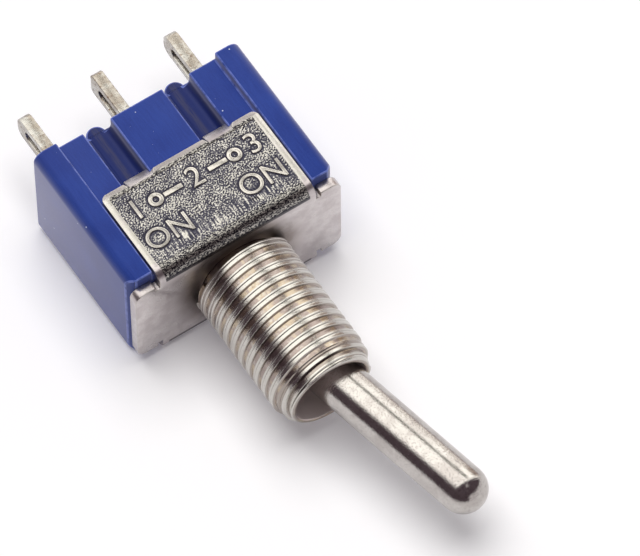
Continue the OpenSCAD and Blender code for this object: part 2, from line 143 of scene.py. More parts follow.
class Graph:
    """The nodes of one material or world."""

    def __init__(self, tree: bpy.types.NodeTree) -> None:
        """Args:
            tree: the node tree, which is emptied.
        """
        tree.nodes.clear()
        self.tree = tree

    def node(
        self,
        kind: str,
        settings: Optional[dict[str, Any]] = None,
        inputs: Optional[dict[Union[str, int], Value]] = None,
        output: Optional[Union[str, int]] = 0,
    ) -> Optional[Sock]:
        """Adds a node.

        Args:
            kind: the node's type.
            settings: its properties, which are set before its sockets; "stops" fills a ramp.
            inputs: values or links of its sockets, by name or number.
            output: which output is returned, or None for a node that ends the graph.

        Returns:
            The chosen output.
        """
        made = self.tree.nodes.new(kind)
        for name, value in (settings or {}).items():
            if name == "stops":
                self._fill_ramp(made.color_ramp, value)
            else:
                setattr(made, name, value)
        for key, value in (inputs or {}).items():
            if isinstance(value, Sock):
                self.tree.links.new(value.socket, made.inputs[key])
            elif isinstance(value, (tuple, list)) and made.inputs[key].type == "RGBA":
                made.inputs[key].default_value = (*value, 1.0)
            else:
                made.inputs[key].default_value = value
        return None if output is None else Sock(self, made.outputs[output])

    @staticmethod
    def _fill_ramp(ramp: bpy.types.ColorRamp, stops: Sequence[tuple[float, Colour]]) -> None:
        """Writes a ramp's stops.

        Args:
            ramp: the ramp, which has two stops when it is new.
            stops: position and colour of each stop, in order.
        """
        for _ in range(len(stops) - 2):
            ramp.elements.new(0.5)
        for element, (place, colour) in zip(ramp.elements, stops):
            element.position = place
            element.color = (*colour, 1.0)

    def math(self, operation: str, left: Value, right: Value = 0.0) -> Sock:
        """A Math node on one or two values."""
        return self.node("ShaderNodeMath", {"operation": operation}, {0: left, 1: right})

    def attribute(self, name: str) -> Sock:
        """A number that the mesh carries."""
        return self.node("ShaderNodeAttribute", {"attribute_name": name}, output="Fac")

    def place(self) -> Sock:
        """The surface point in the object's own frame, in millimetres."""
        metres = self.node("ShaderNodeTexCoord", output="Object")
        return self.node("ShaderNodeVectorMath", {"operation": "SCALE"}, {0: metres, "Scale": 1 / MM})

    def stretched(self, place: Sock, scale: Point) -> Sock:
        """A place scaled by a different factor along each axis."""
        return self.node("ShaderNodeVectorMath", {"operation": "MULTIPLY"}, {0: place, 1: scale})

    def axes(self, place: Sock) -> tuple[Sock, Sock, Sock]:
        """Takes a place or a normal apart.

        Args:
            place: the point or direction.

        Returns:
            Its three components.
        """
        made = self.node("ShaderNodeSeparateXYZ", inputs={0: place})
        outputs = made.socket.node.outputs
        return tuple(Sock(self, outputs[i]) for i in range(3))

    def noise(self, place: Sock, per_mm: float, detail: float = 3.0, rough: float = 0.55) -> Sock:
        """Fractal noise around 0.5.

        Args:
            place: the point, in millimetres.
            per_mm: bumps in each millimetre.
            detail: number of finer octaves.
            rough: weight of the finer octaves.

        Returns:
            The noise's socket.
        """
        return self.node(
            "ShaderNodeTexNoise",
            inputs={"Vector": place, "Scale": per_mm, "Detail": detail, "Roughness": rough},
        )

    def specks(self, place: Sock, per_mm: float, size: float) -> Sock:
        """A mask of small round specks, one to a cell at most.

        Args:
            place: the point, in millimetres.
            per_mm: cells in each millimetre.
            size: radius of the specks as a share of a cell.

        Returns:
            The mask's socket.
        """
        nearest = self.node(
            "ShaderNodeTexVoronoi", inputs={"Vector": place, "Scale": per_mm}, output="Distance"
        )
        return nearest.rises(size, size * 0.5)

    def bump(self, height: Sock, depth: float, strength: float = 1.0) -> Sock:
        """A normal bent by a height.

        Args:
            height: the height, where 1 stands depth above 0.
            depth: the full height in millimetres.
            strength: share of the effect.

        Returns:
            The bent normal.
        """
        return self.node(
            "ShaderNodeBump",
            inputs={"Strength": strength, "Distance": depth * MM, "Height": height},
        )


# ------------------------------------------------------------------- finishes


@dataclass(frozen=True)
class Finish:
    """A surface finish, which paints one material."""

    name: str

    def paint(self, g: Graph) -> dict[str, Value]:
        """Args:
            g: the material's graph.

        Returns:
            The values and links of the shader's sockets.
        """
        raise NotImplementedError

    def material(self) -> bpy.types.Material:
        """Returns:
            A new material with this finish.
        """
        made = bpy.data.materials.new(self.name)
        made.use_nodes = True
        g = Graph(made.node_tree)
        shader = g.node("ShaderNodeBsdfPrincipled", inputs=self.paint(g), output="BSDF")
        g.node("ShaderNodeOutputMaterial", inputs={"Surface": shader}, output=None)
        return made


@dataclass(frozen=True)
class MouldedPlastic(Finish):
    """Satin moulded plastic with grain and specks of dust, edges lighter from wear and painted
    highlight, and painted shade and a painted reflection in the grooves.
    """

    colour: Colour = (0.0070, 0.027, 0.200)
    pale: Colour = (0.014, 0.045, 0.270)
    groove_shade: Colour = (0.002, 0.006, 0.070)
    groove_reflection: Colour = (0.040, 0.042, 0.100)
    rubbed_and_highlight: Colour = (0.150, 0.200, 0.560)
    dust: Colour = (0.70, 0.76, 0.84)
    grain_per_mm: float = 15.0
    drawn_per_mm: Point = (11.0, 0.9, 11.0)
    grain_depth: float = 0.008
    groove_in: float = 1.72
    groove_out: float = 3.36
    streak_x: float = 2.42
    streak_w: float = 0.14
    streak_edge: float = 0.2
    streak_gap: float = 5.0
    pad_z: float = 3.35

    def paint(self, g: Graph) -> dict[str, Value]:
        """Blue mottling, edges lighter from wear and painted highlight, painted shade and a painted
        reflection in the grooves, and roughness and bump from one grain.

        Args:
            g: the material's graph.

        Returns:
            The values and links of the shader's sockets.
        """
        place = g.place()
        x, _, z = g.axes(place)
        cloud = g.noise(place, 0.35, 1.0, 0.5)
        grain = g.noise(place, self.grain_per_mm, 2.0, 0.6)
        drawn = g.noise(g.stretched(place, self.drawn_per_mm), 1.0, 2.0, 0.6)
        # Lighter edges: part wear, part painted highlight along the rounded edges.
        worn_and_lit = g.attribute(EDGE) * g.noise(place, 2.2, 2.0, 0.6).rises(0.22, 0.60)
        groove = abs(x).within(self.groove_in, self.groove_out, 0.06)
        groove = groove * abs(z).rises(self.pad_z - 0.02, self.pad_z - 0.3)
        right, left = (
            x.within(start, start + self.streak_w, self.streak_edge)
            for start in (self.streak_x, self.streak_x - self.streak_gap)
        )
        # Painted reflection: a pale greyish-violet stripe along each groove floor.
        reflection_streak = (right + left) * groove * drawn.rises(0.25, 0.6)
        tone = cloud * 0.45 + drawn * 0.30 + grain * 0.25
        body = tone.rises(0.32, 0.68).between(self.colour, self.pale)
        # Painted shade: the grooves are darkened, as shade falls in them.
        body = (groove * 0.75).between(body, self.groove_shade)
        body = (reflection_streak * 0.8).between(body, self.groove_reflection)
        body = (worn_and_lit * 0.85).between(body, self.rubbed_and_highlight)
        dusty = g.specks(place, 0.9, 0.045) + g.specks(g.stretched(place, (1.3, 1.3, 1.3)), 1.7, 0.03)
        return {
            "Base Color": dusty.between(body, self.dust),
            "Roughness": 0.33 + grain * 0.12 + drawn * 0.08 - groove * 0.10,
            "Specular IOR Level": 0.19,
            "Sheen Weight": 0.42,
            "Sheen Roughness": 0.45,
            "Sheen Tint": (1.0, 0.95, 1.0),
            "Normal": g.bump(grain * 0.6 + drawn * 0.4, self.grain_depth, 0.5),
        }


@dataclass(frozen=True)
class Nickel(Finish):
    """Nickel plate on stamped or turned metal."""

    colour: Colour = (0.74, 0.71, 0.67)
    dull: Colour = (0.50, 0.46, 0.42)
    roughness: float = 0.24
    grain_per_mm: float = 22.0
    grain_depth: float = 0.006

    def plate(self, g: Graph, place: Sock) -> tuple[Sock, Sock, Sock]:
        """The plain plated metal.

        Args:
            g: the material's graph.
            place: the point, in millimetres.

        Returns:
            Its colour, roughness and height.
        """
        grain = g.noise(place, self.grain_per_mm, 3.0, 0.6)
        cloud = g.noise(place, 0.8, 4.0, 0.65)
        colour = cloud.rises(0.62, 0.40).between(self.dull, self.colour)
        rough = self.roughness + (grain - 0.5) * 0.20 + (cloud - 0.5) * 0.15
        return colour, rough, grain

    def metal(self, g: Graph, colour: Sock, rough: Sock, height: Sock) -> dict[str, Value]:
        """The sockets of bare metal.

        Args:
            g: the material's graph.
            colour: the metal's colour.
            rough: its roughness.
            height: its relief, where 1 stands grain_depth above 0.

        Returns:
            The values and links of the shader's sockets.
        """
        return {
            "Base Color": colour,
            "Metallic": 1.0,
            "Roughness": rough,
            "Normal": g.bump(height, self.grain_depth),
        }

    def paint(self, g: Graph) -> dict[str, Value]:
        """Plated metal with its grain."""
        return self.metal(g, *self.plate(g, g.place()))


@dataclass(frozen=True)
class StampedNickel(Nickel):
    """Nickel on the stamped frame: cream borders, a pitted bend with painted shade in its pits and
    crease, and grime round the bushing with painted contact shade.
    """

    bright: Colour = (0.50, 0.48, 0.44)
    lip: Colour = (0.34, 0.31, 0.31)
    pit_shade: Colour = (0.030, 0.028, 0.036)
    smudge_and_shade: Colour = (0.24, 0.20, 0.18)
    smudge_in: float = 2.9
    smudge_out: float = 4.4
    outer_z: float = 3.95
    bend_start: float = 0.92
    field_half: float = 4.62
    flange_l: float = 6.0

    def paint(self, g: Graph) -> dict[str, Value]:
        """Plated metal, with the coining's colours on the flanges' top and bend, painted shade in the
        pits and crease, and grime and painted contact shade round the bushing.

        Args:
            g: the material's graph.

        Returns:
            The values and links of the shader's sockets.
        """
        place = g.place()
        x, y, z = g.axes(place)
        colour, rough, grain = self.plate(g, place)
        depth = self.outer_z - abs(z)
        inside = abs(x).rises(self.field_half + 0.02, self.field_half - 0.03)
        top = depth.rises(0.05, 0.02) * y.rises(self.bend_start, self.bend_start + 0.1)
        lip = top * y.rises(self.flange_l - 0.32, self.flange_l - 0.22)
        pitted = top * inside * (1 - lip)
        bend = depth.rises(0.62, 0.50) * y.rises(self.bend_start, self.bend_start - 0.1) * inside
        crease = depth.within(0.50, 0.66, 0.10) * y.rises(0.4, 0.2) * inside
        reach = (x * x + z * z) ** 0.5 + (g.noise(place, 1.6, 3.0, 0.6) - 0.5) * 1.4
        # Grime round the foot of the bushing, darkened further as painted contact shade.
        dirt_and_shade = reach.rises(self.smudge_out, self.smudge_in) * y.rises(0.3, 0.1) * (1 - bend)
        chips = g.noise(place, 5.0, 3.0, 0.7).rises(0.25, 0.55)
        salt = g.noise(g.stretched(place, (1.0, 1.6, 1.6)), 8.5, 2.0, 0.7)
        # Painted shade: the coined pits are dark and the peaks lighter, following the same relief
        # that salt bumps.
        coined = salt.rises(0.46, 0.60).between(self.pit_shade, self.bright)
        shade = (top * chips).between(colour, self.bright)
        shade = lip.between(shade, self.lip)
        shade = (g.attribute(EDGE).rises(0.4, 1.0) * 0.5 * (1 - bend)).between(shade, self.bright)
        shade = (pitted + bend).between(shade, coined)
        # Painted shade in the crease of the bend.
        shade = (crease * 0.9).between(shade, self.pit_shade)
        shade = (dirt_and_shade * 0.85).between(shade, self.smudge_and_shade)
        height = grain + (pitted + bend) * (salt * 3.0 - grain)
        return self.metal(g, shade, rough + dirt_and_shade * 0.15, height)


@dataclass(frozen=True)
class StippledNickel(Finish):
    """The coined field on a flange, coloured by height: painted shade on its low pits and slopes, the
    metal's colour on its peaks, and painted shade round the foot of its signs.
    """

    pit_shade: Colour = (0.042, 0.042, 0.062)
    slope: Colour = (0.110, 0.106, 0.128)
    peak: Colour = (0.62, 0.60, 0.55)
    sign_shade: Colour = (0.040, 0.036, 0.050)
    floor: float = 3.866
    top: float = 3.935

    def paint(self, g: Graph) -> dict[str, Value]:
        """Colour by height, broken up by a fine grain, with the low ground painted dark as shade.

        Args:
            g: the material's graph.

        Returns:
            The values and links of the shader's sockets.
        """
        place = g.place()
        z = g.axes(place)[2]
        height = (abs(z) - self.floor) / (self.top - self.floor)
        grain = g.noise(place, 11.0, 3.0, 0.75)
        tone = height * 0.66 + (grain - 0.5) * 1.2 + (g.noise(place, 1.3, 2.0, 0.5) - 0.5) * 0.5
        # Painted shade by height: the low pits and slopes are dark, the peaks keep the metal's
        # colour.
        colour = g.node(
            "ShaderNodeValToRGB",
            {"stops": [(0.32, self.pit_shade), (0.47, self.slope), (0.62, self.peak)]},
            {"Fac": tone},
            "Color",
        )
        return {
            # Painted shade: a dark ring on the ground round the foot of each raised sign.
            "Base Color": (g.attribute(RING).rises(0.45, 0.95) * 0.8).between(colour, self.sign_shade),
            "Metallic": 1.0,
            "Roughness": 0.30 + grain * 0.18,
            "Normal": g.bump(g.noise(place, 14.0, 2.0, 0.6), 0.02, 0.6),
        }


@dataclass(frozen=True)
class ThreadNickel(Nickel):
    """Nickel on the turned thread: champagne tarnish on the roots, crests painted lighter as
    highlight, flanks and seam painted darker as shade, and a dull brown bore.
    """

    crest: Colour = (0.53, 0.51, 0.475)
    warm: Colour = (0.42, 0.345, 0.255)
    pink: Colour = (0.29, 0.235, 0.215)
    corner: Colour = (0.34, 0.30, 0.27)
    scale: Colour = (0.07, 0.05, 0.055)
    bore: Colour = (0.60, 0.51, 0.50)
    root_r: float = 2.865
    crest_r: float = 2.98
    bore_r: float = 2.24
    taper_y: float = -7.8
    end_y: float = -9.0
    taper: float = 0.5

    def paint(self, g: Graph) -> dict[str, Value]:
        """Plated metal whose roots are warmer than its crests, with painted highlight on the crests
        and painted shade on the flanks and seam.

        Args:
            g: the material's graph.

        Returns:
            The values and links of the shader's sockets.
        """
        place = g.place()
        x, y, z = g.axes(place)
        colour, rough, grain = self.plate(g, place)
        reach = (x * x + z * z) ** 0.5
        height = reach + y.rises(self.taper_y, self.end_y) * self.taper
        crest = height.rises(self.crest_r - 0.015, self.crest_r)
        step = height.rises(self.root_r, self.root_r + 0.02) * (1 - crest)
        patches = g.noise(g.stretched(place, (1.0, 0.45, 1.0)), 1.2, 3.0, 0.65)
        tarnish = patches.rises(0.42, 0.56).between(self.warm, self.pink)
        flecks = g.noise(place, 6.0, 4.0, 0.75).rises(0.60, 0.70)
        inside = reach.rises(self.bore_r + 0.08, self.bore_r)
        shade = (g.noise(place, 3.0, 3.0, 0.6).rises(0.22, 0.50) * 0.9).between(colour, tarnish)
        # Painted highlight and shade: crests lighter, flanks and seam darker.
        shade = crest.between(step.between(shade, self.corner), self.crest)
        shade = (flecks * 0.65).between(shade, self.scale)
        shade = inside.between(shade, self.bore)
        made = self.metal(g, shade, rough + flecks * 0.2 + inside * 0.25, grain)
        made["Metallic"] = 1.0 - inside * 0.7
        return made


@dataclass(frozen=True)
class TumbledNickel(Nickel):
    """Nickel on the lever, peppered by its barrel plating, with faint strokes round it."""

    speck: Colour = (0.20, 0.165, 0.165)

    def paint(self, g: Graph) -> dict[str, Value]:
        """Plated metal with dark specks and a grain that breaks its reflections up.

        Args:
            g: the material's graph.

        Returns:
            The values and links of the shader's sockets.
        """
        place = g.place()
        colour, rough, grain = self.plate(g, place)
        pepper = g.noise(place, 11.0, 2.0, 0.8)
        strokes = g.noise(g.stretched(place, (2.0, 14.0, 2.0)), 1.0, 2.0, 0.6)
        shade = (pepper.rises(0.54, 0.66) * 0.50).between(colour, self.speck)
        return self.metal(g, shade, rough, grain * 0.6 + pepper * 0.7 + strokes * 0.35)


@dataclass(frozen=True)
class RaisedNickel(Nickel):
    """Nickel on the raised signs: painted highlight along their rounded edges, duller on their flats.
    """

    rim: Colour = (0.66, 0.64, 0.585)

    def paint(self, g: Graph) -> dict[str, Value]:
        """Plated metal whose colour follows the slope of the surface: lighter on the rounded edges as
        a painted highlight.

        Args:
            g: the material's graph.

        Returns:
            The values and links of the shader's sockets.
        """
        colour, rough, grain = self.plate(g, g.place())
        # Painted highlight: the sloped edges take the lighter rim colour.
        slope = g.axes(g.node("ShaderNodeTexCoord", output="Normal"))[2]
        return self.metal(g, abs(slope).rises(0.985, 0.90).between(colour, self.rim), rough, grain)


@dataclass(frozen=True)
class TinnedBrass(Nickel):
    """Bright tin on the lugs, with brown spots where it was cut."""

    spot: Colour = (0.19, 0.13, 0.095)
    cut: Colour = (0.34, 0.24, 0.17)

    def paint(self, g: Graph) -> dict[str, Value]:
        """Plated metal with brown spots.

        Args:
            g: the material's graph.

        Returns:
            The values and links of the shader's sockets.
        """
        place = g.place()
        colour, rough, grain = self.plate(g, place)
        spots = g.noise(place, 3.6, 4.0, 0.75).rises(0.54, 0.64)
        shade = (g.attribute(EDGE) * spots.rises(0.0, 0.5)).between(colour, self.cut)
        return self.metal(g, (spots * 0.7).between(shade, self.spot), rough + spots * 0.2, grain)


@dataclass(frozen=True)
class Nylon(Finish):
    """Plain off-white moulded nylon."""

    colour: Colour = (0.80, 0.77, 0.68)
    pale: Colour = (0.86, 0.84, 0.78)

    def paint(self, g: Graph) -> dict[str, Value]:
        """Slightly mottled plastic.

        Args:
            g: the material's graph.

        Returns:
            The values and links of the shader's sockets.
        """
        cloud = g.noise(g.place(), 2.0, 3.0, 0.6)
        return {
            "Base Color": cloud.rises(0.3, 0.7).between(self.colour, self.pale),
            "Roughness": 0.38 + cloud * 0.12,
            "Normal": g.bump(cloud, 0.01),
        }


# ----------------------------------------------------------------- mesh tools


class Body(Enum):
    """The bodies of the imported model."""

    HOUSING = "housing"
    LEVER = "lever"
    ROCKER = "rocker"


def new_object(name: str, mesh: bpy.types.Mesh) -> bpy.types.Object:
    """Links a mesh into the scene.

    Args:
        name: the piece's name.
        mesh: its mesh.

    Returns:
        The new object, at the origin.
    """
    made = bpy.data.objects.new(name, mesh)
    bpy.context.scene.collection.objects.link(made)
    return made


def mesh_from_grid(name: str, rows: np.ndarray, tube: bool = False) -> bpy.types.Mesh:
    """A turned solid, from its rings of points.

    Args:
        name: the mesh's name.
        rows: points in millimetres, as rows by columns by 3; the last column meets the first.
        tube: whether the last row joins the first, so that the solid has a hole.

    Returns:
        The welded mesh, with its normals outward.
    """
    mesh = bpy.data.meshes.new(name)
    mesh.from_pydata((rows.reshape(-1, 3) * MM).tolist(), [], grid_faces(*rows.shape[:2], tube))
    weld(mesh)
    return mesh


def grid_faces(rows: int, columns: int, tube: bool = False) -> list[tuple[int, ...]]:
    """The faces between the points of a grid.

    Args:
        rows: how many rows it has.
        columns: how many points stand in a row.
        tube: whether the last row joins the first.

    Returns:
        Four corner numbers for each face.
    """
    steps = [(i * columns, (i + 1) % rows * columns) for i in range(rows if tube else rows - 1)]
    return [
        (here + j, here + j + 1, there + j + 1, there + j)
        for here, there in steps
        for j in range(columns - 1)
    ]


def weld(mesh: bpy.types.Mesh, gap: float = 0.0004) -> None:
    """Joins points that coincide, drops flat faces and turns the normals outward.

    Args:
        mesh: the mesh to clean.
        gap: distance in millimetres under which points are one.
    """
    work = bmesh.new()
    work.from_mesh(mesh)
    bmesh.ops.remove_doubles(work, verts=work.verts, dist=gap * MM)
    bmesh.ops.dissolve_degenerate(work, edges=work.edges, dist=gap * MM * 0.1)
    bmesh.ops.recalc_face_normals(work, faces=work.faces)
    work.to_mesh(mesh)
    work.free()


def shade_smooth(piece: bpy.types.Object, angle_deg: float = 32.0) -> None:
    """Smooths a piece's shading, but for its sharp edges.

    Args:
        piece: the piece.
        angle_deg: the angle from which an edge counts as sharp.
    """
    for polygon in piece.data.polygons:
        polygon.use_smooth = True
    piece.data.set_sharp_from_angle(angle=math.radians(angle_deg))


def apply_modifiers(piece: bpy.types.Object) -> None:
    """Writes a piece's modifiers into its mesh.

    Args:
        piece: the piece, whose old mesh is removed.
    """
    graph = bpy.context.evaluated_depsgraph_get()
    made = bpy.data.meshes.new_from_object(piece.evaluated_get(graph), depsgraph=graph)
    old = piece.data
    piece.modifiers.clear()
    piece.data = made
    bpy.data.meshes.remove(old)


def finish_piece(
    piece: bpy.types.Object,
    finish: Finish,
    body: Body,
    replaces: Iterable[str] = (),
) -> bpy.types.Object:
    """Gives a piece its material, body and slot.

    Args:
        piece: the piece, in place.
        finish: its finish.
        body: the body that it moves with.
        replaces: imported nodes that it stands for.

    Returns:
        The same piece.
    """
    piece.data.materials.clear()
    piece.data.materials.append(finish.material())
    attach(piece, body.value)
    for node in replaces:
        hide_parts(node)
    log.info("%s: %d faces on %s", piece.name, len(piece.data.polygons), body.value)
    return piece


@dataclass
class SoftenedSolid:
    """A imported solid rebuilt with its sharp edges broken, as tumbling or a mould leaves them."""

    node: str
    name: str
    edge_break: float = 0.05
    steps: int = 2
    sharp_deg: float = 28.0
    flat_deg: float = 0.4

    def build(self) -> bpy.types.Object:
        """Returns:
            A new object with the node's shape, before its edges are broken.
        """
        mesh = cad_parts[self.node].data.copy()
        mesh.name = self.name
        work = bmesh.new()
        work.from_mesh(mesh)
        bmesh.ops.remove_doubles(work, verts=work.verts, dist=2e-7)
        bmesh.ops.dissolve_limit(
            work, angle_limit=math.radians(self.flat_deg), verts=work.verts, edges=work.edges
        )
        work.to_mesh(mesh)
        work.free()
        return new_object(self.name, mesh)

    def soften(self, piece: bpy.types.Object) -> None:
        """Rounds the sharp edges, marks the new strips in an attribute, and smooths the shading.

        Args:
            piece: the object to round.
        """
        work = bmesh.new()
        work.from_mesh(piece.data)
        limit = math.radians(self.sharp_deg)
        sharp = [e for e in work.edges if len(e.link_faces) == 2 and e.calc_face_angle() > limit]
        mark = work.loops.layers.float.new(EDGE)
        made = bmesh.ops.bevel(
            work,
            geom=sharp,
            offset=self.edge_break * MM,
            offset_type="OFFSET",
            segments=self.steps,
            profile=0.5,
            affect="EDGES",
            clamp_overlap=False,
        )
        for face in made["faces"]:
            for corner in face.loops:
                corner[mark] = 1.0
        work.to_mesh(piece.data)
        work.free()
        shade_smooth(piece)


# ----------------------------------------------------------------- assemblies


@dataclass
class MouldedCase:
    """The blue case, with its grooves, barriers and ribs."""

    finish: MouldedPlastic = MouldedPlastic("case_plastic")

    def build(self) -> None:
        """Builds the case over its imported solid."""
        solid = SoftenedSolid("case_body", "moulded_case", edge_break=0.09)
        piece = solid.build()
        solid.soften(piece)
        finish_piece(piece, self.finish, Body.HOUSING, ["case_body"])


@dataclass
class StampedFrame:
    """The plate with its two flanges, each with a coined field and raised legends.

    A place on a flange is (x, y) from the middle of the plate's outer face. Waves are the lengths
    of the bumps in the coined texture.
    """

    outer_z: float = 3.95
    field_half: float = 4.62
    field_front: float = 0.80
    field_rear: float = 5.52
    field_depth: float = 0.07
    field_inset: float = 0.01
    field_bed: float = 0.001
    field_skin: float = 0.006
    grid: float = 0.038
    stipple: float = 0.055
    stipple_wave: float = 0.145
    streak_wave: tuple[float, float] = (0.16, 1.6)
    streak_front: float = 0.95
    streak_reach: float = 2.2
    sign_round: float = 0.045
    sign_thick: float = 0.01
    sign_sink: float = 0.018
    ring_reach: float = 0.10
    font_size: float = 1.80
    number_x: float = 3.75
    number_y: float = 4.25
    word_x: float = 3.0
    word_y: float = 2.15
    contact_x: float = 1.9
    contact_ring_x: float = 0.62
    contact_ring_r: tuple[float, float] = (0.42, 0.20)
    contact_bar: tuple[float, float] = (0.10, -1.05)
    contact_bar_half: float = 0.13
    seed: int = 7
    finish: StampedNickel = StampedNickel(
        "frame_nickel",
        colour=(0.60, 0.56, 0.555),
        dull=(0.50, 0.455, 0.455),
        roughness=0.30,
        grain_per_mm=14.0,
    )
    field_finish: StippledNickel = StippledNickel("field_nickel")
    legend_finish: RaisedNickel = RaisedNickel(
        "legend_nickel",
        colour=(0.55, 0.52, 0.48),
        dull=(0.33, 0.31, 0.29),
        roughness=0.26,
        grain_per_mm=9.0,
    )

    def build(self) -> None:
        """Builds the frame, its two coined fields and their legends."""
        solid = SoftenedSolid("mounting_frame", "stamped_frame", edge_break=0.04)
        piece = solid.build()
        for side in (-1, 1):
            self._recess(piece, side)
        solid.soften(piece)
        finish_piece(piece, self.finish, Body.HOUSING, ["mounting_frame"])
        for side, label in ((1, "upper"), (-1, "lower")):
            self._field(side, label, self._legends(side, label))

    def _recess(self, piece: bpy.types.Object, side: int) -> None:
        """Sinks a flange's field below its borders.

        Args:
            piece: the frame.
            side: 1 for the upper flange and -1 for the lower.
        """
        length = self.field_rear - self.field_front
        cutter = new_object("recess_cutter", bpy.data.meshes.new("recess_cutter"))
        work = bmesh.new()
        bmesh.ops.create_cube(work, size=1.0)
        for vert in work.verts:
            vert.co = Vector(
                (
                    vert.co.x * 2 * self.field_half,
                    vert.co.y * length + (self.field_front + self.field_rear) / 2,
                    side * self.outer_z + vert.co.z * 2 * self.field_depth,
                )
            ) * MM
        work.to_mesh(cutter.data)
        work.free()
        cut = piece.modifiers.new("recess", "BOOLEAN")
        cut.operation = "DIFFERENCE"
        cut.solver = "EXACT"
        cut.object = cutter
        apply_modifiers(piece)
        bpy.data.objects.remove(cutter)

    def _heights(self, wide: int, long: int, side: int) -> np.ndarray:
        """The coined texture's height over a field, from 0 to 1.

        Args:
            wide: grid points across.
            long: grid points from front to rear.
            side: which flange, so that the two differ.

        Returns:
            An array of long by wide heights.
        """
        source = np.random.default_rng(self.seed + side)
        shape = (long, wide)
        u = np.fft.fftfreq(wide, self.grid)[None, :]
        v = np.fft.fftfreq(long, self.grid)[:, None]

        def band(x_wave: float, y_wave: float) -> np.ndarray:
            """Noise of an even spread, whose bumps are about x_wave by y_wave millimetres.

            Args:
                x_wave: their length across the field.
                y_wave: their length from front to rear.

            Returns:
                The noise over the grid.
            """
            reach = np.hypot(u * x_wave, v * y_wave)
            spectrum = np.fft.fft2(source.standard_normal(shape)) * np.exp(-((reach - 1) ** 2) * 3)
            made = np.real(np.fft.ifft2(spectrum))
            return made / made.std()

        grain = band(self.stipple_wave, self.stipple_wave)
        pits = 0.5 + 0.30 * np.clip(grain, -1.6, 1.6)
        streaks = 0.5 + 0.32 * np.clip(band(*self.streak_wave), -1.5, 1.5)
        y = np.linspace(self.field_front, self.field_rear, long)[:, None]
        x = np.linspace(-self.field_half, self.field_half, wide)[None, :]
        drag = np.clip((self.streak_reach - y) / 0.7, 0, 1)
        drag = drag * np.clip((y - self.streak_front) / 0.3, 0, 1) * (0.75 - 0.25 * np.cos(x * 1.4))
        return np.clip(pits * (1 - drag) + streaks * drag, 0, 1)

    def _field(self, side: int, label: str, outlines: np.ndarray) -> None:
        """Builds the coined field of a flange.

        Args:
            side: 1 for the upper flange and -1 for the lower.
            label: the word for that side.
            outlines: points on the outlines of the raised signs, as rows of (x, y).
        """
        low_x, high_x = -self.field_half + self.field_inset, self.field_half - self.field_inset
        low_y, high_y = self.field_front + self.field_inset, self.field_rear - self.field_inset
        wide = int((high_x - low_x) / self.grid)
        long = int((high_y - low_y) / self.grid)
        x, y = np.meshgrid(np.linspace(low_x, high_x, wide), np.linspace(low_y, high_y, long))
        ring = self._rings(x, y, outlines)
        heights = self._heights(wide, long, side) * (1 - ring)
        floor_z = self.outer_z - self.field_depth
        top = side * (floor_z + self.field_skin + self.stipple * heights)
        base = np.full_like(top, side * (floor_z + self.field_bed))
        top_points, base_points = (np.stack([x, y, z], axis=-1).reshape(-1, 3) for z in (top, base))
        rim = (
            list(range(wide))
            + [i * wide + wide - 1 for i in range(1, long)]
            + [(long - 1) * wide + j for j in range(wide - 2, -1, -1)]
            + [i * wide for i in range(long - 2, 0, -1)]
        )
        start, count = wide * long, len(rim)
        walls = [
            (rim[k], rim[(k + 1) % count], start + (k + 1) % count, start + k)
            for k in range(count)
        ]
        bottom = tuple(range(start, start + count))
        points = np.concatenate([top_points, base_points[rim]]) * MM
        mesh = bpy.data.meshes.new(f"coined_field_{label}")
        mesh.from_pydata(points.tolist(), [], grid_faces(long, wide) + walls + [bottom])
        marks = mesh.attributes.new(RING, "FLOAT", "POINT")
        marks.data.foreach_set("value", np.concatenate([ring.ravel(), np.zeros(count)]))
        weld(mesh)
        piece = new_object(f"coined_field_{label}", mesh)
        shade_smooth(piece, 60.0)
        finish_piece(piece, self.field_finish, Body.HOUSING)

    def _rings(self, x: np.ndarray, y: np.ndarray, outlines: np.ndarray) -> np.ndarray:
        """How near each point of a field lies to a raised sign.

        Args:
            x: the points' places across.
            y: their places from front to rear.
            outlines: points on the outlines of the signs, as rows of (x, y).

        Returns:
            1 on an outline, falling to 0 away from it.
        """
        tree = KDTree(len(outlines))
        for count, (sign_x, sign_y) in enumerate(outlines):
            tree.insert((sign_x, sign_y, 0.0), count)
        tree.balance()
        gaps = np.array([tree.find((a, b, 0.0))[2] for a, b in zip(x.ravel(), y.ravel())])
        return np.exp(-((gaps.reshape(x.shape) / self.ring_reach) ** 2))

    def _legends(self, side: int, label: str) -> np.ndarray:
        """Raises the numbers of the lugs, the contact lines and the two words on a flange.

        Args:
            side: 1 for the upper flange and -1 for the lower.
            label: the word for that side.

        Returns:
            Points on the signs' outlines, as rows of (x, y) in millimetres.
        """
        words = (
            ("1", -self.number_x, self.number_y),
            ("2", 0.0, self.number_y),
            ("3", self.number_x, self.number_y),
            ("ON", -self.word_x, self.word_y),
            ("ON", self.word_x, self.word_y),
        )
        outlines = []
        for count, (text, x, y) in enumerate(words):
            curve = bpy.data.curves.new(f"legend_{label}_{count}", "FONT")
            curve.body = text
            curve.size = self.font_size * MM
            curve.align_x = "CENTER"
            curve.align_y = "CENTER"
            outlines.append(self._raise(curve, f"legend_{label}_{count}", side, x, y))
        for count, turn in enumerate((-1, 1)):
            name = f"contact_line_{label}_{count}"
            curve = self._contact_line(name, turn)
            outlines.append(self._raise(curve, name, side, turn * self.contact_x, self.number_y))
        return np.concatenate(outlines)

    def _contact_line(self, name: str, turn: int) -> bpy.types.Curve:
        """A flat ring and a bar, the drawing of one contact.

        Args:
            name: the curve's name.
            turn: 1 or -1, the end at which the ring stands.

        Returns:
            The curve, centred on its origin.
        """
        curve = bpy.data.curves.new(name, "CURVE")
        curve.dimensions = "2D"
        curve.fill_mode = "BOTH"

